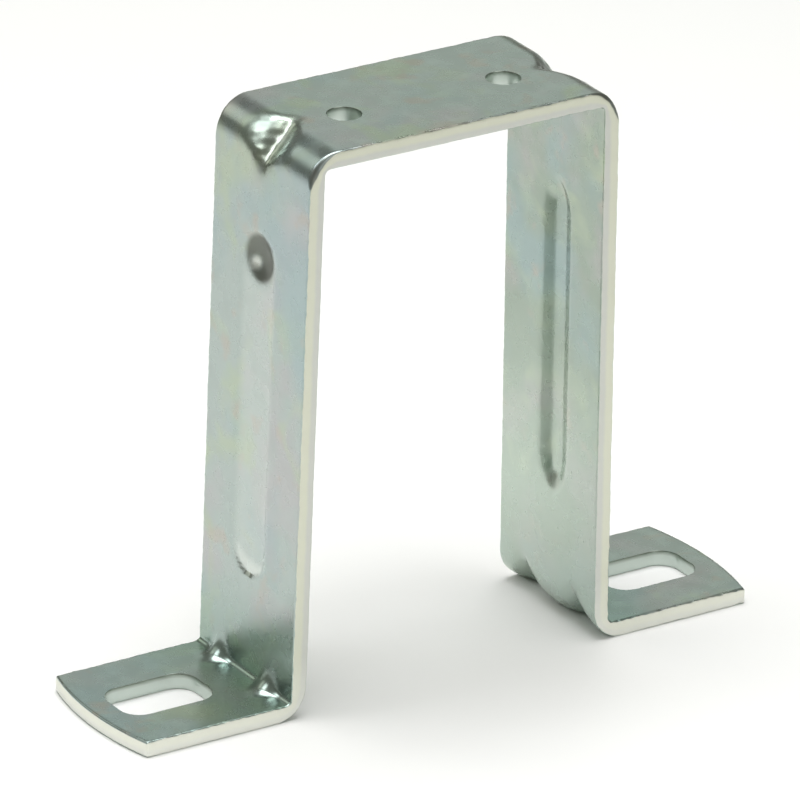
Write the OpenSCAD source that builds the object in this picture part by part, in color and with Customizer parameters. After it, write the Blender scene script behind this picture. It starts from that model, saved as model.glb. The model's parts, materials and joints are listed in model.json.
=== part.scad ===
// Fan mount bracket: one flat steel bar folded into a bridge with a flat web,
// two near-upright legs and two feet that turn outward.
// Pressed into the bar: one gusset across each top bend, two across each bottom
// bend, and down each leg a long bead with a deeper round end and a groove behind it.
// Frame: X along the bracket, Y across the bar, Z up; the feet stand on Z = 0.

/* [Bar] */
// Width of the flat bar (mm)
strip_w = 30; // [24:0.5:50]
// Thickness of the flat bar (mm)
sheet_t = 3; // [2:0.25:4]

/* [Fold] */
// Height from the feet to the top of the web (mm)
height = 104; // [80:0.5:160]
// Length of the web over the outer faces of the legs (mm)
web_len = 62; // [54:0.5:120]
// Outward lean of each leg from upright (deg)
leg_lean = 0.85; // [0:0.05:3]
// Reach of a foot from the leg's outer face to the corners of its end (mm)
foot_reach = 28.7; // [27:0.1:50]
// Radius of the cropped arc that ends each foot (mm)
foot_end_r = 57; // [30:1:200]
// Outer radius of the bends; the bar thins where it is folded (mm)
bend_out_r = 6; // [4:0.25:7]
// Inner radius of the bends (mm)
bend_in_r = 1; // [0.5:0.25:2]
// Width of the bevel along the outer arris of a top bend (mm)
arris_bevel = 1.3; // [0.5:0.1:1.6]

/* [Web holes] */
// Diameter of the two holes in the web (mm)
hole_d = 6; // [4:0.1:8]
// Spacing of the two holes along the web (mm)
hole_pitch = 32; // [24:0.5:36]
// Offset of both holes from the middle of the bar (mm)
hole_off = -1.6; // [-4:0.1:4]

/* [Foot slots] */
// Length of a slot along the foot (mm)
slot_len = 17.8; // [13:0.1:18.5]
// Width of a slot across the foot (mm)
slot_w = 11.4; // [8:0.1:16]
// Radius of the slot's corners (mm)
slot_corner_r = 3.75; // [1:0.25:3.9]
// Distance from the leg's outer face to the middle of the slot (mm)
slot_off = 17.3; // [16.5:0.1:18]

/* [Leg beads] */
// Width of a bead in the outer face (mm)
bead_w = 10.4; // [8:0.1:14]
// Depth of a bead in the outer face (mm)
bead_depth = 0.8; // [0.5:0.1:1]
// Slope of a bead's walls from the face (deg)
bead_slope = 30; // [22:1:60]
// Distance from the top of the web down to a bead's upper end (mm)
bead_from = 19.2; // [16:0.2:24]
// Distance from the top of the web down to a bead's lower end (mm)
bead_to = 83; // [60:0.5:90]
// Width of the groove in the inner face behind a bead (mm)
back_w = 8.6; // [7:0.1:12]
// Depth of the groove behind a bead (mm)
back_depth = 1.2; // [0.6:0.1:1.3]
// Slope of that groove's walls from the face (deg)
back_slope = 23; // [22:1:45]
// Distance of that groove's ends in from the bead's ends (mm)
back_inset = 2.6; // [1:0.1:6]
// Diameter of the deeper round dimple at a bead's upper end (mm)
dimple_d = 8.8; // [6:0.2:11]
// Depth of that dimple in the outer face (mm)
dimple_depth = 1.8; // [1.2:0.1:2]
// Distance from the top of the web down to the middle of the dimple (mm)
dimple_down = 24; // [22:0.5:26]

/* [Bend gussets] */
// Run of a top gusset's floor line along the web, from the sharp corner (mm)
top_run = 6.8; // [6:0.1:8]
// Run of a top gusset's floor line down the leg, from the sharp corner (mm)
top_drop = 7.8; // [6:0.1:9]
// Half-angle of a top gusset's flanks (deg)
top_flank = 66; // [50:1:70]
// Reach of a top gusset's inner rib from the inside corner (mm)
top_rib = 4.2; // [3.5:0.1:5]
// Run of a bottom gusset's floor line along the foot, from the sharp corner (mm)
foot_run = 7.2; // [6:0.1:8]
// Rise of a bottom gusset's floor line up the leg, from the sharp corner (mm)
foot_rise = 8; // [6:0.1:9]
// Half-angle of a bottom gusset's flanks (deg)
foot_flank = 58; // [45:1:65]
// Reach of a bottom gusset's rib from the upper corner of the foot (mm)
foot_rib = 3.3; // [3:0.1:5]
// Distance of each bottom gusset from the middle of the bar (mm)
foot_pair = 7.75; // [6:0.25:9]
// Radius along the floor of every gusset (mm)
floor_r = 1.2; // [0.5:0.1:2]
// Half-angle of the ribs' flanks (deg)
rib_flank = 32; // [20:1:45]
// Radius along the crest of every rib (mm)
rib_r = 1.4; // [0.8:0.1:2]

/* [Hidden] */
$fn = 96;

// Sharp corners of the folded bar, on its right-hand side, as [x, z]
lean = [sin(leg_lean), -cos(leg_lean)];
skin = sheet_t / cos(leg_lean);
top_out = [web_len / 2, height];
top_in = [web_len / 2 + sheet_t * tan(leg_lean) - skin, height - sheet_t];
foot_up = [web_len / 2 + (height - sheet_t) * tan(leg_lean), sheet_t];
foot_dn = [web_len / 2 + height * tan(leg_lean) - skin, 0];
foot_x = web_len / 2 + height * tan(leg_lean);

// Foot end: the arc's crown stands out past the end corners
end_x = foot_x + foot_reach;
end_crown = end_x + foot_end_r - sqrt(foot_end_r * foot_end_r - strip_w * strip_w / 4);

// Radius of a circle that is w wide where it dips h below a face
function dip_r(w, h) = (w * w / 4 + h * h) / (2 * h);

// Unit vector of v
function unit(v) = v / norm(v);

// The corner between the directions d1 and d2 at p, outside a circle that touches both
module corner_tip(p, d1, d2, r) {
    half = acos(unit(d1) * unit(d2)) / 2;
    c = p + unit(unit(d1) + unit(d2)) * r / sin(half);
    difference() {
        polygon([p, p + unit(d1) * r / tan(half), c, p + unit(d2) * r / tan(half)]);
        translate(c) circle(r = r);
    }
}

// Side view of the bar as folded: sharp corners, then the radii of the four bends
module fold_profile() {
    difference() {
        union() {
            polygon([
                [end_crown + 1, 0], [end_crown + 1, sheet_t], foot_up, top_out,
                [-top_out[0], top_out[1]], [-foot_up[0], foot_up[1]],
                [-end_crown - 1, sheet_t], [-end_crown - 1, 0],
                [-foot_dn[0], 0], [-top_in[0], top_in[1]], top_in, foot_dn
            ]);
            for (m = [0, 1]) mirror([m, 0]) {
                corner_tip(top_in, [-1, 0], lean, bend_in_r);
                corner_tip(foot_up, [1, 0], -lean, bend_in_r);
            }
        }
        for (m = [0, 1]) mirror([m, 0]) {
            corner_tip(top_out, [-1, 0], lean, bend_out_r);
            corner_tip(foot_dn, [1, 0], -lean, bend_out_r);
        }
    }
}

// Cross-section of a gusset's hollow: a round floor and flanks that open upward
module wedge(half, r, tall) {
    touch = [r * cos(half), r - r * sin(half)];
    wide = touch[0] + (tall - touch[1]) * tan(half);
    translate([0, r]) circle(r = r);
    polygon([[-touch[0], touch[1]], [touch[0], touch[1]], [wide, tall], [-wide, tall]]);
}

// A cross-section laid along the line from a to b, both [x, z], and past its ends;
// it opens toward the sharp corner that the line cuts off
module laid_across(a, b) {
    d = b - a;
    translate([(a[0] + b[0]) / 2, 0, (a[1] + b[1]) / 2])
        rotate([0, atan2(-d[1], d[0]), 0])
            rotate([90, 0, 90])
                linear_extrude(height = norm(d) + 12, center = true)
                    children();
}

// Cross-section of a rib: its crest is an arc in short flats, its flanks open downward
module crest(half, r, tall) {
    turn = 90 - half;
    low = r - r * cos(turn);
    wide = r * sin(turn) + (tall - low) * tan(half);
    polygon(concat(
        [for (k = [-6:6]) [r * sin(turn * k / 6), r - r * cos(turn * k / 6)]],
        [[wide, tall], [-wide, tall]]
    ));
}

// Rib inside a bend: the crest's prism as far as the middle of the sheet on both sides
module rib(corner, d1, d2, reach) {
    mid = corner - (unit(d1) + unit(d2)) * sheet_t * 0.45;
    intersection() {
        laid_across(corner + unit(d1) * reach, corner + unit(d2) * reach)
            crest(rib_flank, rib_r, reach + sheet_t);
        rotate([90, 0, 0])
            linear_extrude(height = strip_w / 2, center = true)
                polygon([mid, mid + unit(d1) * (2 * reach + sheet_t),
                         mid + unit(d2) * (2 * reach + sheet_t)]);
    }
}

// Bevel along the outer arris of a bend at the bar's edge; it fades out
// where the bend meets the flats, because its cone is set back from the bend's axis
module arris_cut(p, d1, d2) {
    half = acos(unit(d1) * unit(d2)) / 2;
    inward = unit(unit(d1) + unit(d2));
    c = p + inward * bend_out_r / sin(half);
    run = bend_out_r / tan(half);
    keep = bend_out_r - arris_bevel;
    back = (bend_out_r * bend_out_r - keep * keep)
         / (2 * (keep - bend_out_r * sin(half)));
    cone_r = keep + back;
    deep = arris_bevel + 1;
    tip = c + inward * back;
    difference() {
        translate([0, -strip_w / 2 + deep, 0])
            rotate([90, 0, 0])
                linear_extrude(height = deep + 1)
                    polygon([p + unit(d1) * run, p - inward * 2, p + unit(d2) * run]);
        translate([tip[0], -strip_w / 2 - 1, tip[1]])
            rotate([-90, 0, 0])
                cylinder(h = deep + 2, r1 = cone_r - 1, r2 = cone_r + deep + 1);
    }
}

// Frame of the right leg: x = 0 on its outer face, z = 0 at the top of the web
module on_leg() {
    translate([top_out[0], 0, top_out[1]])
        rotate([0, -leg_lean, 0])
            children();
}

// Long hollow in a face at x = 0: flat floor, sloped walls and round ends
module trough(w, deep, slope, from, to) {
    up = -from - w / 2;
    dn = -to + w / 2;
    floor_half = w / 2 - deep / tan(slope);
    mouth_half = w / 2 + 1 / tan(slope);
    translate([0, 0, dn])
        linear_extrude(height = up - dn)
            polygon([[-deep, -floor_half], [-deep, floor_half],
                     [1, mouth_half], [1, -mouth_half]]);
    for (z = [up, dn]) translate([-deep, 0, z])
        rotate([0, 90, 0]) cylinder(h = deep + 1, r1 = floor_half, r2 = mouth_half);
}

// Hollow of a bead and its dimple in the outer face
module bead_hollow() {
    r = dip_r(dimple_d, dimple_depth);
    on_leg() {
        trough(bead_w, bead_depth, bead_slope, bead_from, bead_to);
        translate([r - dimple_depth, 0, -dimple_down]) sphere(r = r);
    }
}

// Hollow of the groove behind a bead, in the inner face; it leaves a low pip of
// metal behind the dimple
module back_hollow() {
    pip_r = 4;
    pip_low = 0.35;
    on_leg() difference() {
        translate([-sheet_t, 0, 0]) mirror([1, 0, 0])
            trough(back_w, back_depth, back_slope, bead_from + back_inset, bead_to - back_inset);
        translate([-sheet_t + pip_low + pip_r, 0, -dimple_down]) sphere(r = pip_r);
    }
}

// Slot through the foot: a rounded rectangle
module slot() {
    translate([foot_x + slot_off, 0, -1]) {
        translate([-slot_len / 2, -slot_w / 2 + slot_corner_r, 0])
            cube([slot_len, slot_w - 2 * slot_corner_r, sheet_t + 2]);
        translate([-slot_len / 2 + slot_corner_r, -slot_w / 2, 0])
            cube([slot_len - 2 * slot_corner_r, slot_w, sheet_t + 2]);
        for (x = [-1, 1], y = [-1, 1])
            translate([x * (slot_len / 2 - slot_corner_r), y * (slot_w / 2 - slot_corner_r), 0])
                cylinder(h = sheet_t + 2, r = slot_corner_r);
    }
}

// Arc-cropped end of the foot: what lies outside the arc
module foot_end_cut() {
    difference() {
        translate([end_x - 1, -strip_w / 2 - 1, -1])
            cube([end_crown - end_x + 4, strip_w + 2, sheet_t + 2]);
        translate([end_crown - foot_end_r, 0, -2])
            cylinder(h = sheet_t + 4, r = foot_end_r, $fn = 360);
    }
}

module bracket() {
    color([0.70, 0.72, 0.70])
    difference() {
        union() {
            rotate([90, 0, 0])
                linear_extrude(height = strip_w, center = true)
                    fold_profile();
            for (m = [0, 1]) mirror([m, 0, 0]) {
                rib(top_in, [-1, 0], lean, top_rib);
                for (y = [-1, 1]) translate([0, y * foot_pair, 0])
                    rib(foot_up, [1, 0], -lean, foot_rib);
            }
        }
        for (m = [0, 1]) mirror([m, 0, 0]) {
            laid_across(top_out + [-top_run, 0], top_out + lean * top_drop)
                wedge(top_flank, floor_r, 6);
            for (y = [-1, 1]) translate([0, y * foot_pair, 0])
                laid_across(foot_dn + [foot_run, 0], foot_dn - lean * foot_rise)
                    wedge(foot_flank, floor_r, 6);
            bead_hollow();
            back_hollow();
            slot();
            foot_end_cut();
            for (k = [0, 1]) mirror([0, k, 0])
                arris_cut(top_out, [-1, 0], lean);
        }
        for (x = [-1, 1])
            translate([x * hole_pitch / 2, hole_off, height - sheet_t - 1])
                cylinder(h = sheet_t + 2, d = hole_d);
    }
}

bracket();
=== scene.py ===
import json
import math

import bpy
import numpy as np
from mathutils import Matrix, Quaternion, Vector

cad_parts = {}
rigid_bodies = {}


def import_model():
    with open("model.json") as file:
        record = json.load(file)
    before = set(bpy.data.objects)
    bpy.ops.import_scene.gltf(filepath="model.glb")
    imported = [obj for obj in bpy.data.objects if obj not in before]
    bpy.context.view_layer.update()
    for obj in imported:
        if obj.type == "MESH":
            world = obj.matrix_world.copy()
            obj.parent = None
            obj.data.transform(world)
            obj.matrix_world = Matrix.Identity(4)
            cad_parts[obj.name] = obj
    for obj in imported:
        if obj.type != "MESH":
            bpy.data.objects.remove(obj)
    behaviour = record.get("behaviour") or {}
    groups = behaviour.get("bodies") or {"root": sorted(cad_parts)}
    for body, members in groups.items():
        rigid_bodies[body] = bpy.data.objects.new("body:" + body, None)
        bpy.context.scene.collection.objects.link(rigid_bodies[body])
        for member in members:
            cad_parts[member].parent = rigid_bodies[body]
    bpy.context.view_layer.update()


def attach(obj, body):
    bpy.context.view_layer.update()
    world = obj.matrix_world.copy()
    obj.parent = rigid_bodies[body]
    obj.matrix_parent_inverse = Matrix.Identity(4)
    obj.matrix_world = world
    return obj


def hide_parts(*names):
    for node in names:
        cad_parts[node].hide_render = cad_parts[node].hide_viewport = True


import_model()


# Camera: a long lens at the front left, looking down on the bracket. Its place, its
# turn and its focal length were solved from the straight edges of the real piece.

sensor_mm = 36.0
lens_mm = 460.7
sees_to_m = 20.0
camera_at = Vector((-0.88036, -1.33393, 0.76946))
camera_looks = Vector((0.50105843, 0.7610705, -0.41196135))
camera_roll = math.radians(1.547)

camera = bpy.data.objects.new("camera", bpy.data.cameras.new("camera"))
camera.data.lens = lens_mm
camera.data.sensor_width = sensor_mm
camera.data.clip_end = sees_to_m
camera.rotation_mode = "QUATERNION"
camera.location = camera_at
camera.rotation_quaternion = camera_looks.to_track_quat("-Z", "Y") @ Quaternion((0, 0, 1), camera_roll)
bpy.context.scene.collection.objects.link(camera)
bpy.context.scene.camera = camera
bpy.context.scene.view_settings.view_transform = "Standard"


# Bracket: a flat bar of mild steel, 30 x 3 mm, folded cold into a bridge; its
# beads, dimples and gussets are pressed in, its holes and slots punched, and
# the whole piece is zinc plated and clear passivated.

# Sizes in millimetres, in the side view: x along the bracket from its middle, z up.
mm = 0.001
bar_half = 15.0
sheet = 3.0
top_z = 104.0
web_half = 31.0
foot_reach = 28.7
end_radius = 57.0
bend_out = 6.0
bend_in = 1.0
lean = math.radians(0.85)

# Unit directions, and the corners where two flat faces would meet if the bends were sharp.
down = np.array([math.sin(lean), -math.cos(lean)])
away = np.array([math.cos(lean), math.sin(lean)])
along = np.array([1.0, 0.0])
upward = np.array([0.0, 1.0])
skin = sheet / math.cos(lean)
top_corner = np.array([web_half, top_z])
under_corner = np.array([web_half + sheet * math.tan(lean) - skin, top_z - sheet])
foot_corner = np.array([web_half + (top_z - sheet) * math.tan(lean), sheet])
foot_x = web_half + top_z * math.tan(lean)
heel_corner = np.array([foot_x - skin, 0.0])
end_crown = foot_x + foot_reach + end_radius - math.sqrt(end_radius ** 2 - bar_half ** 2)


def soft_min(a, b, blend):
    """The smaller of a and b, rounded where they are within the blend length of each other."""
    near = np.maximum(blend - np.abs(a - b), 0.0) / blend
    return np.minimum(a, b) - near ** 2 * blend / 4


def soft_max(a, b, blend):
    """The larger of a and b, rounded where they are within the blend length of each other."""
    return -soft_min(-a, -b, blend)


def ramp(value, zero_at, one_at):
    """A straight rise from 0 at one value to 1 at another, held outside them."""
    return np.clip((value - zero_at) / (one_at - zero_at), 0, 1)


def bend(corner, first, last, steps):
    """Stations round a bend, as centre, unit directions and the angle from its middle.

    The directions turn evenly from the first face's normal to the last one's. The centre
    lies inside the corner by the outer radius over the cosine of half the turn.
    """
    start, stop = np.arctan2(first[1], first[0]), np.arctan2(last[1], last[0])
    turn = (stop - start + math.pi) % (2 * math.pi) - math.pi
    angle = start + turn * np.linspace(0, 1, steps)
    middle = (first + last) / np.linalg.norm(first + last)
    centre = corner - middle * bend_out / math.cos(abs(turn) / 2)
    return centre, np.stack([np.cos(angle), np.sin(angle)], 1), np.linspace(-1, 1, steps) * abs(turn) / 2


def inner_reach(angle):
    """Distance from a bend's centre to its tight inner face, by the angle from the bend's middle.

    It is the flat's distance over the cosine, or the far side of the inner circle near the middle.
    """
    half = np.abs(angle).max()
    flat = bend_out - sheet
    gap = (flat - bend_in) / math.cos(half)
    edge = half - math.atan2(gap * math.sin(half), flat)
    round_part = gap * np.cos(angle) + np.sqrt(np.maximum(bend_in ** 2 - (gap * np.sin(angle)) ** 2, 0))
    return np.where(np.abs(angle) < edge, round_part, flat / np.cos(half - np.abs(angle)))


def line(a, b, steps):
    """Evenly spaced points from a to b, both ends in."""
    return a + (b - a) * np.linspace(0, 1, steps)[:, None]


# Side view of the right half, from the middle of the web to the foot: the outer
# face, the inner face, and the outer face's normal at each station.
web_steps, bend_steps, leg_steps, foot_steps = 30, 34, 148, 56
top_c, top_dir, top_angle = bend(top_corner, upward, away, bend_steps)
low_c, low_dir, low_angle = bend(heel_corner, -away, -upward, bend_steps)
top_inner = top_c + top_dir * inner_reach(top_angle)[:, None]
top_outer = top_c + top_dir * bend_out
low_inner = low_c + low_dir * bend_out
low_outer = low_c + low_dir * inner_reach(low_angle)[:, None]
web_outer = line(np.array([0.0, top_z]), top_outer[0], web_steps)[:-1]
web_inner = line(np.array([0.0, top_z - sheet]), top_inner[0], web_steps)[:-1]
leg_outer = line(top_outer[-1], low_outer[0], leg_steps)[1:-1]
leg_inner = line(top_inner[-1], low_inner[0], leg_steps)[1:-1]
outer = np.concatenate([web_outer, top_outer, leg_outer, low_outer])
inner = np.concatenate([web_inner, top_inner, leg_inner, low_inner])
normal = np.concatenate([web_outer * 0 + upward, top_dir, leg_outer * 0 + away, -low_dir])

# Columns across the bar, close together at its rounded edges.
edge_steps = np.array([0, 0.02, 0.07, 0.15, 0.27, 0.42, 0.6, 0.8, 1.0, 1.2, 1.45])
column_gap, columns_a_side = 0.51, 26
inside = np.arange(-columns_a_side, columns_a_side + 1) * column_gap
across = np.concatenate([-bar_half + edge_steps, inside, bar_half - edge_steps[::-1]])

# Stations along the foot, close together at its end, which is an arc across the bar.
end_steps = np.array([0, 0.02, 0.07, 0.15, 0.27, 0.45])
foot_length, end_steps_from = 29.0, 0.985
foot_end = end_crown - end_radius + np.sqrt(end_radius ** 2 - across ** 2)
foot_start = low_outer[-1][0]
foot_share = np.concatenate([np.linspace(0, 1, foot_steps)[1:-1] * end_steps_from,
                             1 - end_steps[::-1] / foot_length])
foot_xs = foot_start + (foot_end[None, :] - foot_start) * foot_share[:, None]


def spread(side):
    """The side view's points laid across every column, then the foot's own grid added."""
    body = np.broadcast_to(side[:, None, :], (len(side), len(across), 2))
    foot = np.stack([foot_xs, np.full_like(foot_xs, side[-1][1])], 2)
    return np.concatenate([body, foot])


flat_front = spread(outer)
flat_back = spread(inner)
feet = len(foot_xs)
face_normal = np.concatenate([normal, np.tile(upward, (feet, 1))])[:, None, :]
y = np.broadcast_to(across, flat_front.shape[:2])


def wedge_floor(offset, half_angle, radius):
    """Height of a groove's wall above its floor line, by the distance from the groove's middle.

    It is a circle of the radius near the middle, and beyond it straight walls that touch it.
    """
    touch = radius * math.cos(half_angle)
    low = radius - radius * math.sin(half_angle)
    d = np.abs(offset)
    arc = radius - np.sqrt(np.maximum(radius ** 2 - d ** 2, 0))
    return np.where(d < touch, arc, low + (d - touch) / math.tan(half_angle))


def off_line(points, a, b, toward):
    """Height of points above the line from a to b on the side of a third point, and that unit normal."""
    d = (b - a) / np.linalg.norm(b - a)
    n = np.array([-d[1], d[0]])
    n = n if (toward - a) @ n > 0 else -n
    return (points - a) @ n, n


def groove(points, a, b, toward, offset, half_angle, radius, blend):
    """Lowers points that stand above a groove's walls down to them."""
    height, n = off_line(points, a, b, toward)
    cut = soft_min(height, wedge_floor(offset, half_angle, radius), blend)
    return points + (cut - height)[..., None] * n


def ridge(points, a, b, away_from, offset, half_angle, radius, blend):
    """Raises points that lie below a rib's flanks up to them: a groove seen from its other side."""
    height, n = off_line(points, a, b, away_from)
    height, n = -height, -n
    lifted = soft_max(height, -wedge_floor(offset, half_angle, radius), blend)
    return points + (lifted - height)[..., None] * n


# Gussets: a groove pressed across each top bend with its rib inside, and two across
# each bottom bend. A floor or crest runs straight from one face to the other, and
# meets them this far from their corner, along the web or foot and along the leg.
top_groove_along, top_groove_down = 6.7, 7.7
top_rib_along, top_rib_down = 4.2, 4.2
foot_groove_along, foot_groove_up = 6.6, 6.9
foot_rib_along, foot_rib_up = 2.7, 2.9
foot_gussets_at = (-7.75, 7.75)
front = groove(flat_front, top_corner - along * top_groove_along, top_corner + down * top_groove_down,
               top_corner, y, half_angle=math.radians(60), radius=2.2, blend=1.7)
back = ridge(flat_back, under_corner - along * top_rib_along, under_corner + down * top_rib_down,
             under_corner, y, half_angle=math.radians(32), radius=1.4, blend=1.2)

# The metal crumples where the top gusset is pressed in: two slanted waves multiplied,
# 0.05 mm high, and a finer one of 0.02 mm, by the distance along the bar and across it.
crumpled_from = 0.6
pressed_in = ramp(np.linalg.norm(front - flat_front, axis=2), 0, crumpled_from)
steps_along = np.linalg.norm(np.diff(outer, axis=0), axis=1)
at_bar = np.concatenate([[0], np.cumsum(steps_along), np.zeros(feet)])[:, None]
crumple = (0.05 * np.sin(1.9 * at_bar + 1.1 * y + 0.5) * np.sin(1.5 * y - 0.8 * at_bar)
           + 0.02 * np.sin(3.1 * at_bar - 2.4 * y))
front = front + (pressed_in * crumple)[..., None] * face_normal

for middle in foot_gussets_at:
    back = groove(back, heel_corner + along * foot_groove_along, heel_corner - down * foot_groove_up,
                  heel_corner, y - middle, half_angle=math.radians(57), radius=1.4, blend=1.9)
    front = ridge(front, foot_corner + along * foot_rib_along, foot_corner - down * foot_rib_up,
                  foot_corner, y - middle, half_angle=math.radians(46), radius=2.6, blend=1.9)

# Bead and dimple: a long shallow flat-bottomed bead down the leg's outer face, a round
# pit at its upper end, and a narrower, deeper groove behind them in the inner face.
leg_from, leg_to = 12, 90
fall = (flat_front - top_corner) @ down
on_leg = ((fall > leg_from) & (fall < leg_to)) * (np.arange(len(front)) < len(outer))[:, None]
bead_mid = 0.3
bead_deep = 0.4 + 0.1 * ramp(fall, 30, 80)
pit_down, pit_half, pit_deep, pit_soft = 24.05, 4.75, 1.5, 0.25
pip_high, pip_wide = 0.45, 8.0


def dish(distance, half, deep):
    """Depth of a round-bottomed dish of a half-width and depth, by the distance from its middle."""
    radius = (half ** 2 + deep ** 2) / (2 * deep)
    return np.sqrt(np.maximum(radius ** 2 - distance ** 2, 0)) - radius + deep


def trough(middle, first, last, half, taper, deep, slope, end_slope, soft):
    """Depth of a flat-bottomed groove with half-elliptic ends: sloped walls, steeper at both ends.

    The depth is the distance in from the rim times the tangent of the wall's slope, held at
    the floor and at the face by soft corners; taper is the length of each end.
    """
    side_slope, last_slope = math.tan(math.radians(slope)), math.tan(math.radians(end_slope))
    past = np.maximum(np.maximum(first + taper - fall, fall - last + taper), 0) * half / taper
    distance = np.hypot(y - middle, past)
    steeper = side_slope + (last_slope - side_slope) * (past / np.maximum(distance, 0.01)) ** 2
    wall_depth = (half - distance) * steeper
    return soft_max(soft_min(wall_depth, 0 * wall_depth + deep, soft), 0 * wall_depth, soft)


bead = trough(middle=bead_mid, first=19.2, last=83.0, half=5.5, taper=5.0, deep=bead_deep,
              slope=17.0, end_slope=42.0, soft=0.14)
hollow = trough(middle=-0.8, first=21.0, last=80.6, half=4.6, taper=7.5, deep=1.4,
                slope=23.0, end_slope=33.0, soft=0.2)
pit_from = np.hypot(y - bead_mid, fall - pit_down)
sunk = soft_max(bead, dish(pit_from, pit_half, pit_deep), pit_soft)
pip = np.maximum(pip_high - pit_from ** 2 / pip_wide, 0)
front = front - (sunk * on_leg)[..., None] * away
back = back + (np.maximum(hollow - pip, 0) * on_leg)[..., None] * away

# Marks for the finish, from 0 to 1: painted shade, and a rougher finish, in the pit's ring; painted highlights
# on the bead's floor, most of all at its lower end and at one side of the pit; a greener painted reflection
# and shade in the foot's corner.
glint_across, glint_down = 2.0, 1.7
glint_from = np.hypot(y - bead_mid - glint_across, fall - pit_down - glint_down)
# Painted shade in the pit's ring, except round the glint; it also makes the ring rougher.
dull_and_painted_shade = ramp(pit_from, 4.7, 3.8) * ramp(glint_from, 0.7, 1.8) * on_leg
# Painted highlights: the bead's floor, its lower end and a glint on one side of the pit are painted paler.
bead_floor_sheen = 0.14 * ramp(bead, 0, 0.38) * ramp(pit_from, 4.6, 6.1)
bead_toe_highlight = 0.45 * ramp(bead, 0, bead_deep) ** 2 * ramp(fall + 0.06 * (y + 1) ** 2, 78.6, 81.0)
painted_highlight = np.maximum(np.maximum(bead_floor_sheen, bead_toe_highlight), ramp(glint_from, 1.5, 0.6)) * on_leg
# Painted reflection and shade: a darker, greener tint in the corner between each foot and its leg.
corner_shade_most, corner_shade_reach = 0.6, 17.0
corner = corner_shade_most * ramp(np.linalg.norm(flat_front - foot_corner, axis=2), corner_shade_reach, 0)


def both(values, flip=1):
    """Adds the left half as the mirror of the right one, its stations in reverse order."""
    return np.concatenate([values[:0:-1] * flip, values])


front, back = both(front, [-1, 1]), both(back, [-1, 1])
face_normal = both(face_normal, [-1, 1])
y, dull_and_painted_shade, painted_highlight, corner = both(y), both(dull_and_painted_shade), both(painted_highlight), both(corner)
middle_line = (front[:, len(across) // 2] + back[:, len(across) // 2]) / 2
run = np.concatenate([[0], np.cumsum(np.linalg.norm(np.diff(middle_line, axis=0), axis=1))])
run = run - run[len(run) // 2]


def wander(at, shift):
    """An uneven wave between -1 and 1 along the bar: four sines of unlike lengths."""
    return (np.sin(at * 0.83 + shift) + np.sin(at * 1.9 + 2.1 * shift) + np.sin(at * 3.7 + 4.4 * shift)
            + np.sin(at * 0.31 + 5 * shift)) / 4


# Arrises: a round of uneven size along every edge of the bar, and a bevel round the
# outer arc of each top bend, larger at the front and towards the leg. The bevel is rougher and painted darker,
# a painted shade.
far = 9.0
from_edge = bar_half - np.abs(y)
from_end = np.full_like(from_edge, far)
from_end[-feet:] = foot_end[None, :] - foot_xs
from_end[:feet] = from_end[-feet:][::-1]
nearest = np.minimum(from_edge, from_end)
front_round, back_round, least_round, most_round = 0.34, 0.26, 0.18, 0.55
end_round_more = 0.12
front_bevel, back_bevel, bevel_skew, bevel_soft = 0.7, 0.25, 0.6, 0.45
bevel_dull_and_shade, full_dull_at = 0.75, 0.12


def rounding(size, shift):
    """Depth of a round of uneven radius along the edges, by the distance from the nearest edge."""
    radius = np.clip(size + 0.6 * size * wander(run, shift), least_round, most_round)[:, None]
    radius = radius + end_round_more * (from_end < 2)
    return radius - np.sqrt(radius ** 2 - np.clip(radius - nearest, 0, radius) ** 2)


half_turn = np.abs(top_angle).max()
bulge = ((np.cos(top_angle) - math.cos(half_turn)) / (1 - math.cos(half_turn))
         * (1 + bevel_skew * top_angle / half_turn))
bulge = np.concatenate([0 * web_outer[:, 0], bulge, 0 * leg_outer[:, 0], 0 * low_angle])
bulge = np.concatenate([np.zeros(feet), both(bulge), np.zeros(feet)])[:, None]
bevel = np.maximum(bulge, 0) * np.where(y < 0, front_bevel, back_bevel)
bevel = soft_max(bevel - from_edge, 0 * from_edge, bevel_soft) * (bevel > 0)
# The bevel takes the pit ring's rougher finish and its painted shade.
dull_and_painted_shade = np.maximum(dull_and_painted_shade, bevel_dull_and_shade * ramp(bevel, 0, full_dull_at))
front = front - (rounding(front_round, 0.7) + bevel)[..., None] * face_normal
back = back + rounding(back_round, 2.9)[..., None] * face_normal

# The closed skin: a ring of points round the bar at every station, from the end
# of the left foot to the end of the right one, and a cap on each end. The sheared
# edges are drawn in unevenly, by up to 0.06 mm.
side_steps = 6
drawn_in, drawn_width = 0.03, 0.8
through = np.linspace(0, 1, side_steps + 1)[1:-1, None]
edge_points = front[:, -1:, :] + (back[:, -1:, :] - front[:, -1:, :]) * through
near_points = front[:, :1, :] + (back[:, :1, :] - front[:, :1, :]) * through
section = np.concatenate([front, edge_points, back[:, ::-1], near_points[:, ::-1]], 1)
ring_y = np.concatenate([across, np.full(side_steps - 1, bar_half), across[::-1],
                         np.full(side_steps - 1, -bar_half)])
cols, ring = len(across), len(ring_y)
rings = np.stack([section[..., 0], np.broadcast_to(ring_y, section.shape[:2]), section[..., 1]], 2)
sheared = (drawn_in * (1 + wander(run * 0.9, 1.3))[:, None]
           * ramp(np.abs(ring_y), bar_half - drawn_width, bar_half))
rings[..., 1] -= sheared * np.sign(ring_y)
count = len(rings)
index = np.arange(count * ring).reshape(count, ring)
turned = np.roll(index, -1, axis=1)
wall = np.stack([index[:-1], turned[:-1], turned[1:], index[1:]], 2).reshape(-1, 4)


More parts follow.
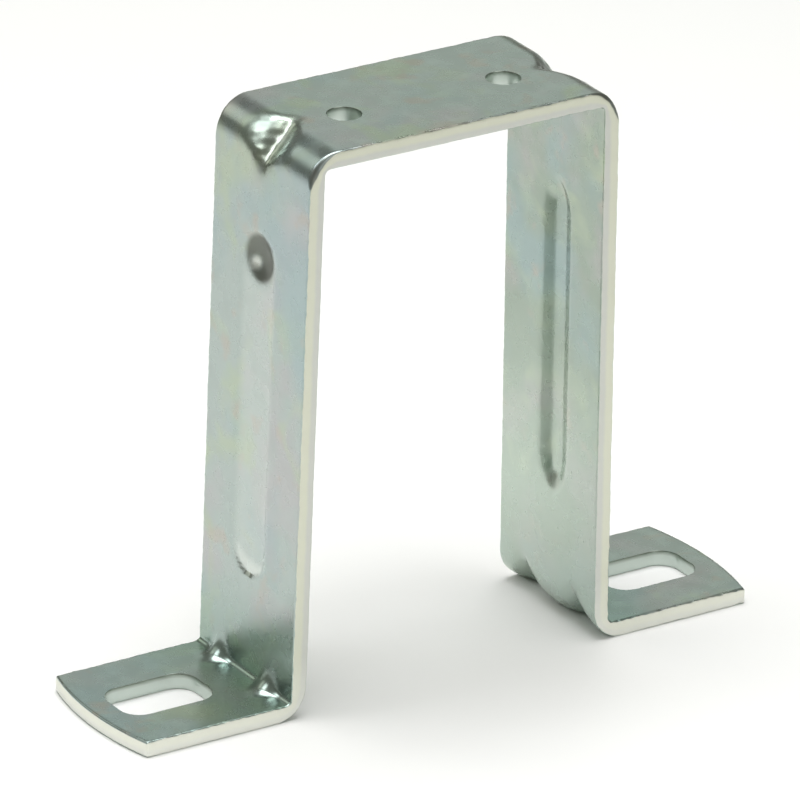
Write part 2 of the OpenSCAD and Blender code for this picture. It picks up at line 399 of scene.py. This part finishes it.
def cap(row, first_new):
    """A grid over one end: its rim is the ring's own points and its inside is new."""
    p, q = rings[row, :cols], rings[row, cols + side_steps - 1:2 * cols + side_steps - 1][::-1]
    fresh = (p + (q - p) * through[:, None])[:, 1:-1]
    grid = np.empty((side_steps + 1, cols), int)
    grid[0] = index[row, :cols]
    grid[-1] = index[row, cols + side_steps - 1:2 * cols + side_steps - 1][::-1]
    grid[1:-1, -1] = index[row, cols:cols + side_steps - 1]
    grid[1:-1, 0] = index[row, 2 * cols + side_steps - 1:][::-1]
    grid[1:-1, 1:-1] = first_new + np.arange(fresh[..., 0].size).reshape(fresh.shape[:2])
    faces = np.stack([grid[:-1, :-1], grid[:-1, 1:], grid[1:, 1:], grid[1:, :-1]], 2)
    return fresh.reshape(-1, 3), faces.reshape(-1, 4)


cap_a, faces_a = cap(0, count * ring)
cap_b, faces_b = cap(count - 1, count * ring + len(cap_a))
points = np.concatenate([rings.reshape(-1, 3), cap_a, cap_b]) * mm
faces = np.concatenate([wall, faces_a, faces_b[:, ::-1]])[:, ::-1]

skin_mesh = bpy.data.meshes.new("bracket_skin")
skin_mesh.vertices.add(len(points))
skin_mesh.vertices.foreach_set("co", points.ravel())
skin_mesh.loops.add(faces.size)
skin_mesh.loops.foreach_set("vertex_index", faces.ravel())
skin_mesh.polygons.add(len(faces))
skin_mesh.polygons.foreach_set("loop_start", np.arange(len(faces)) * 4)
skin_mesh.update(calc_edges=True)

# Distance along the folded bar and across it, in metres, as a UV map.
uv = np.zeros((len(points), 2))
uv[:count * ring, 0] = np.repeat(run, ring)
uv[:count * ring, 1] = np.tile(ring_y, count)
uv[count * ring:, 1] = points[count * ring:, 1] / mm
strip_uv = skin_mesh.uv_layers.new(name="bar")
strip_uv.data.foreach_set("uv", (uv[faces.ravel()] * mm).ravel())

# Marks on every point: how far through the sheet it lies from the outer face, whether
# it is on a cut edge, and those of the outer face.
depth_row = np.concatenate([np.zeros(cols), through.ravel(), np.ones(cols), through.ravel()[::-1]])
depth = np.concatenate([np.tile(depth_row, count), np.tile(np.repeat(through.ravel(), cols - 2), 2)])
edge_band = 0.05
at_cut = np.abs(ring_y) > bar_half - edge_band
cut = np.concatenate([np.tile(at_cut, count), np.ones(len(cap_a) * 2)]).astype(float)
cut[:ring] = 1
cut[(count - 1) * ring:count * ring] = 1


def on_front(values):
    """Lays values of the outer face on every point of the skin, zero elsewhere."""
    full = np.zeros((count, ring))
    full[:, :cols] = values
    return np.concatenate([full.ravel(), np.zeros(2 * len(cap_a))])


marks = {"through": depth, "cut": cut, "dull_and_painted_shade": on_front(dull_and_painted_shade), "painted_highlight": on_front(painted_highlight),
         "corner": on_front(corner), "punched": on_front(0)}
for name, values in marks.items():
    skin_mesh.attributes.new(name, "FLOAT", "POINT").data.foreach_set("value", values)

# Holes in the web and slots in the feet, as a middle, how far the corner circles'
# centres lie from it, their radius, and the height of the sheet's underside.
hole_radius, hole_at, hole_off = 3.0, 16.0, -1.6
slot_radius, slot_at, slot_half = 3.75, foot_x + 17.3, np.array([8.9, 5.7])
openings = (("hole_a", (-hole_at, hole_off), np.zeros(2), hole_radius, top_z - sheet),
            ("hole_b", (hole_at, hole_off), np.zeros(2), hole_radius, top_z - sheet),
            ("slot_a", (-slot_at, 0.0), slot_half - slot_radius, slot_radius, 0.0),
            ("slot_b", (slot_at, 0.0), slot_half - slot_radius, slot_radius, 0.0))
spokes = 96
turns = np.linspace(0, 2 * math.pi, spokes + 1)[:-1]
spoke = np.column_stack([np.cos(turns), np.sin(turns)])

# A punch's height above the sheet's underside and how much wider it is there: it
# rolls the upper rim in by a little and breaks out wider below.
levels = ((-1.0, 0.25), (-0.04, 0.25), (0.06, 0.12), (0.18, 0.03), (0.32, 0.0), (sheet - 0.3, 0.0),
          (sheet - 0.15, 0.02), (sheet - 0.05, 0.05), (sheet + 0.05, 0.1), (sheet + 1.0, 0.1))


def cutter(name, centre, halves, radius, floor_z):
    """A punch's solid through the sheet: a circle's points pushed out to four corners, at each level."""
    loops = [np.column_stack([spoke * (radius + grow) + np.where(spoke > 0, 1, -1) * halves + centre,
                              np.full(len(spoke), floor_z + z)]) for z, grow in levels]
    grid = np.arange(len(spoke) * len(loops)).reshape(len(loops), len(spoke))
    turned = np.roll(grid, -1, axis=1)
    quads = np.stack([grid[:-1], turned[:-1], turned[1:], grid[1:]], 2).reshape(-1, 4)
    ends = [grid[0][::-1].tolist(), grid[-1].tolist()]
    mesh = bpy.data.meshes.new(name)
    mesh.from_pydata(np.concatenate(loops) * mm, [], quads.tolist() + ends)
    return bpy.data.objects.new(name, mesh)


punches = bpy.data.collections.new("punches")
for name, centre, halves, radius, floor_z in openings:
    punches.objects.link(cutter(name, centre, halves, radius, floor_z))
uncut = bpy.data.objects.new("uncut", skin_mesh)
bpy.context.scene.collection.objects.link(uncut)
bpy.context.scene.collection.children.link(punches)
punching = uncut.modifiers.new("punch", "BOOLEAN")
punching.operand_type = "COLLECTION"
punching.collection = punches
punching.solver = "EXACT"
bracket_mesh = bpy.data.meshes.new_from_object(uncut.evaluated_get(bpy.context.evaluated_depsgraph_get()))
for spare in list(punches.objects) + [uncut]:
    bpy.data.objects.remove(spare)
bpy.data.collections.remove(punches)
bracket_mesh.name = "bar_bracket"

# The cut leaves no marks of its own on the walls of the openings, so they get them here.
at = np.empty(len(bracket_mesh.vertices) * 3)
bracket_mesh.vertices.foreach_get("co", at)
at = at.reshape(-1, 3) / mm
wall_reach, rim = 0.3, 0.1
near_wall = np.zeros(len(at), bool)
rise = np.zeros(len(at))
for name, centre, halves, radius, floor_z in openings:
    past_halves = np.maximum(np.abs(at[:, :2] - centre) - halves, 0)
    above = at[:, 2] - floor_z
    here = (np.hypot(*past_halves.T) - radius < wall_reach) & (above > -rim) & (above < sheet + rim)
    near_wall |= here
    rise[here] = above[here]
inside_sheet = ramp(np.minimum(rise, sheet - rise), 0, edge_band)
# The same painted reflection and shade at the top of the slots' walls near the feet's corners.
from_corner = np.hypot(np.abs(at[:, 0]) - foot_corner[0], at[:, 2] - foot_corner[1])
wall_corner_shade = corner_shade_most * ramp(from_corner, corner_shade_reach, 0) * ramp(rise, sheet - rim, sheet)
for name, on_wall in (("through", ramp(rise, sheet, 0)), ("cut", inside_sheet), ("dull_and_painted_shade", 0), ("painted_highlight", 0),
                      ("corner", wall_corner_shade), ("punched", inside_sheet)):
    values = np.empty(len(at))
    bracket_mesh.attributes[name].data.foreach_get("value", values)
    bracket_mesh.attributes[name].data.foreach_set("value", np.where(near_wall, on_wall, values))

sharp_from = math.radians(32)
bracket_mesh.polygons.foreach_set("use_smooth", np.ones(len(bracket_mesh.polygons), bool))
bracket_mesh.set_sharp_from_angle(angle=sharp_from)
bracket = bpy.data.objects.new("folded_bar", bracket_mesh)
bpy.context.scene.collection.objects.link(bracket)


def linear(hex_colour):
    """sRGB hex text to a linear RGBA colour, by the standard's curve."""
    parts = [int(hex_colour[i:i + 2], 16) / 255 for i in (0, 2, 4)]
    return tuple(p / 12.92 if p <= 0.04045 else ((p + 0.055) / 1.055) ** 2.4 for p in parts) + (1.0,)


def add_node(tree, kind, inputs=None, **settings):
    """Adds one node, sets its settings, and sets or links its inputs."""
    node = tree.nodes.new(kind)
    for name, value in settings.items():
        setattr(node, name, value)
    for name, value in (inputs or {}).items():
        if isinstance(value, bpy.types.NodeSocket):
            tree.links.new(value, node.inputs[name])
        else:
            node.inputs[name].default_value = value
    return node


# Zinc plate on mild steel, electroplated bright and clear passivated. The eye gets a
# satin mirror with faint clouds of rose, olive and blue, where the passivate's film
# differs in thickness, a few fine rolling marks, and pale, more even sheared edges.
zinc = bpy.data.materials.new("zinc_plated_steel")
zinc.use_nodes = True
tree = zinc.node_tree
shader = tree.nodes["Principled BSDF"]
shader.inputs["Metallic"].default_value = 1.0
place = add_node(tree, "ShaderNodeTexCoord").outputs["Object"]
height = add_node(tree, "ShaderNodeSeparateXYZ", {"Vector": place}).outputs["Z"]
bar = add_node(tree, "ShaderNodeUVMap", uv_map="bar").outputs["UV"]
slanted = add_node(tree, "ShaderNodeMapping", {"Vector": bar, "Rotation": (0, 0, 0.25),
                                               "Scale": (3.2, 1.0, 1.0)}).outputs["Vector"]
mark = {name: add_node(tree, "ShaderNodeAttribute", attribute_name=name).outputs["Fac"] for name in marks}

# The inner face is a little darker, a painted shade between the legs, and paler again towards the feet,
# a painted light where it reflects the bright floor. On Mix nodes, sockets 0, 6 and 7 are the share and the
# two colours, and output 2 the mixed colour.
inner_side = add_node(tree, "ShaderNodeMapRange", {"Value": mark["through"], "From Min": 0.4, "From Max": 0.6,
                                                   "To Max": 0.8}).outputs["Result"]
# Painted light: the inner face is paler low down, where it reflects the bright floor.
floor_light_height = add_node(tree, "ShaderNodeMapRange", {"Value": height, "From Min": 56 * mm, "From Max": 22 * mm,
                                                  "To Max": 0.75}).outputs["Result"]
painted_floor_light = add_node(tree, "ShaderNodeMath", {0: inner_side, 1: floor_light_height}, operation="MULTIPLY").outputs[0]
# Painted shade: the pit's ring and the bevel are painted darker.
painted_shade = add_node(tree, "ShaderNodeMath", {0: mark["dull_and_painted_shade"], 1: 0.88}, operation="MULTIPLY").outputs[0]
# Painted shade: the inner face, between the legs, gets a darker colour than the outer one.
face = add_node(tree, "ShaderNodeMix", {0: inner_side, 6: linear("AEB9B5"), 7: linear("9CA99B")},
                data_type="RGBA").outputs[2]

# Clouds of the passivate, then rolling marks that run aslant along the bar: their size
# in millimetres, the noise levels between which they fade in, their share, the swirl
# and the tint. The rolling marks are drawn 2 mm wide, coarser than the real ones.
for where, size, low, high, most, swirl, tint in (
        (place, 16.13, 0.50, 0.64, 0.50, 0.0, "B9B3B6"),
        (place, 11.364, 0.52, 0.66, 0.70, 0.6, "B3BFA8"),
        (place, 25.0, 0.49, 0.62, 0.60, 0.0, "9FB3B6"),
        (place, 6.6667, 0.60, 0.70, 0.50, 0.0, "B9AFA4"),
        (slanted, 2.0833, 0.74, 0.78, 0.45, 0.0, "868C84")):
    cloud = add_node(tree, "ShaderNodeTexNoise", {"Vector": where, "Scale": 1 / (size * mm), "Detail": 3.0,
                                                  "Distortion": swirl}).outputs["Fac"]
    share = add_node(tree, "ShaderNodeMapRange", {"Value": cloud, "From Min": low, "From Max": high,
                                                  "To Max": most}).outputs["Result"]
    face = add_node(tree, "ShaderNodeMix", {0: share, 6: face, 7: linear(tint)}, data_type="RGBA").outputs[2]
# Painted light and shade on the face: paler low on the inner face, a greener reflection in the feet's corners,
# highlights on the bead, shade in the pit's ring and on the bevel.
for share, tint in ((painted_floor_light, "C9D6CB"), (mark["corner"], "8BA69C"), (mark["painted_highlight"], "EEF2EC"),
                    (painted_shade, "6E7069")):
    face = add_node(tree, "ShaderNodeMix", {0: share, 6: face, 7: linear(tint)}, data_type="RGBA").outputs[2]

# Cut edges are paler and warmer, and low down they get painted light, a painted reflection of the white floor.
# The walls of the openings are darker towards their upper rim, the one the punch rolled in.
torn = add_node(tree, "ShaderNodeMapRange", {"Value": mark["through"], "From Min": 0.45,
                                             "From Max": 0.7}).outputs["Result"]
# Painted light: cut edges near the floor are paler, as a painted reflection of the white floor.
edge_floor_light = add_node(tree, "ShaderNodeMapRange", {"Value": height, "From Min": 3 * mm, "From Max": 12 * mm,
                                                   "To Min": 0.55, "To Max": 0.0}).outputs["Result"]
toward_upper_rim = add_node(tree, "ShaderNodeMapRange", {"Value": mark["through"], "From Min": 0.02, "From Max": 0.3,
                                               "To Min": 0.8, "To Max": 0.0}).outputs["Result"]
wall_tint = add_node(tree, "ShaderNodeMix", {0: toward_upper_rim, 6: linear("C9D3CC"), 7: linear("7B8577")},
                     data_type="RGBA").outputs[2]
edge = linear("D6D8C8")
for share, tint in ((torn, linear("CDCFC9")), (edge_floor_light, linear("EDEEE6")), (mark["punched"], wall_tint)):
    edge = add_node(tree, "ShaderNodeMix", {0: share, 6: edge, 7: tint}, data_type="RGBA").outputs[2]
plated = add_node(tree, "ShaderNodeMix", {0: mark["cut"], 6: face, 7: edge}, data_type="RGBA").outputs[2]
tree.links.new(plated, shader.inputs["Base Color"])

# Roughness drifts over about 4 mm, and is higher in the dull ring and on cut edges. On
# these Mix nodes, sockets 0, 2 and 3 are the share and the two numbers.
film = add_node(tree, "ShaderNodeTexNoise", {"Vector": place, "Scale": 1 / (3.8462 * mm),
                                             "Detail": 3.0}).outputs["Fac"]
satin = add_node(tree, "ShaderNodeMapRange", {"Value": film, "From Min": 0.3, "From Max": 0.7,
                                              "To Min": 0.22, "To Max": 0.32}).outputs["Result"]
rough = add_node(tree, "ShaderNodeMix", {0: mark["dull_and_painted_shade"], 2: satin, 3: 0.42}).outputs[0]
rough = add_node(tree, "ShaderNodeMix", {0: mark["cut"], 2: rough, 3: 0.40}).outputs[0]
tree.links.new(rough, shader.inputs["Roughness"])

# Grain of the plating, drawn 0.45 mm wide because the real one is too fine to show, and
# the rolled bar's slow unevenness, 7 mm wide: size and depth in mm, and strength.
surface = None
for size, depth_mm, strength in ((0.45455, 0.02, 0.035), (6.6667, 0.12, 0.4)):
    grain = add_node(tree, "ShaderNodeTexNoise", {"Vector": place, "Scale": 1 / (size * mm)}).outputs["Fac"]
    bump = add_node(tree, "ShaderNodeBump", {"Height": grain, "Strength": strength, "Distance": depth_mm * mm})
    if surface:
        tree.links.new(surface, bump.inputs["Normal"])
    surface = bump.outputs["Normal"]
tree.links.new(surface, shader.inputs["Normal"])

bracket_mesh.materials.clear()
bracket_mesh.materials.append(zinc)
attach(bracket, "root")
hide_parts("bracket")


# Studio: a white table, a dim room and five soft boxes. They stand where the bright and
# dark bands on the real piece's faces and bends show that its lamps stood.

floor_reach_m = 6.0
floor_mesh = bpy.data.meshes.new("floor")
floor_mesh.from_pydata([(x * floor_reach_m, y_side * floor_reach_m, 0)
                        for x, y_side in ((-1, -1), (1, -1), (1, 1), (-1, 1))], [], [(0, 1, 2, 3)])
floor = bpy.data.objects.new("floor", floor_mesh)
bpy.context.scene.collection.objects.link(floor)

# Matt white paper: even and without gloss.
paper = bpy.data.materials.new("matt_white_paper")
paper.use_nodes = True
paper_shader = paper.node_tree.nodes["Principled BSDF"]
paper_shader.inputs["Base Color"].default_value = linear("F3F3F3")
paper_shader.inputs["Roughness"].default_value = 1.0
paper_shader.inputs["Specular IOR Level"].default_value = 0.0
floor_mesh.materials.append(paper)

room = bpy.data.worlds.new("studio")
room.use_nodes = True
room.node_tree.nodes["Background"].inputs["Color"].default_value = linear("7C7D74")
room.node_tree.nodes["Background"].inputs["Strength"].default_value = 1.0
bpy.context.scene.world = room

aim = Vector((0, 0, 0.05))
for name, direction, distance, width, height_m, radiance, tint in (
        ("overhead", (0.0, 0.05, 1.0), 0.72, 0.58, 0.58, 5.4, "FFFFFF"),
        ("key", (-0.64, 0.24, 0.73), 2.0, 0.75, 0.75, 3.4, "FFFFFF"),
        ("left_band", (-0.41, 0.76, 0.52), 2.4, 0.95, 1.1, 0.86, "FFFFF0"),
        ("back_band", (0.50, 0.76, 0.41), 2.4, 1.4, 0.7, 0.56, "F4FFF8"),
        ("front_fill", (0.05, -0.88, 0.45), 2.2, 1.8, 1.2, 1.7, "FFFFFF")):
    lamp = bpy.data.lights.new(name, "AREA")
    lamp.shape = "RECTANGLE"
    lamp.size = width
    lamp.size_y = height_m
    lamp.energy = radiance * width * height_m * math.pi
    lamp.color = linear(tint)[:3]
    soft_box = bpy.data.objects.new(name, lamp)
    toward_box = Vector(direction).normalized()
    soft_box.location = toward_box * distance + aim
    soft_box.rotation_mode = "QUATERNION"
    soft_box.rotation_quaternion = toward_box.to_track_quat("Z", "Y")
    bpy.context.scene.collection.objects.link(soft_box)
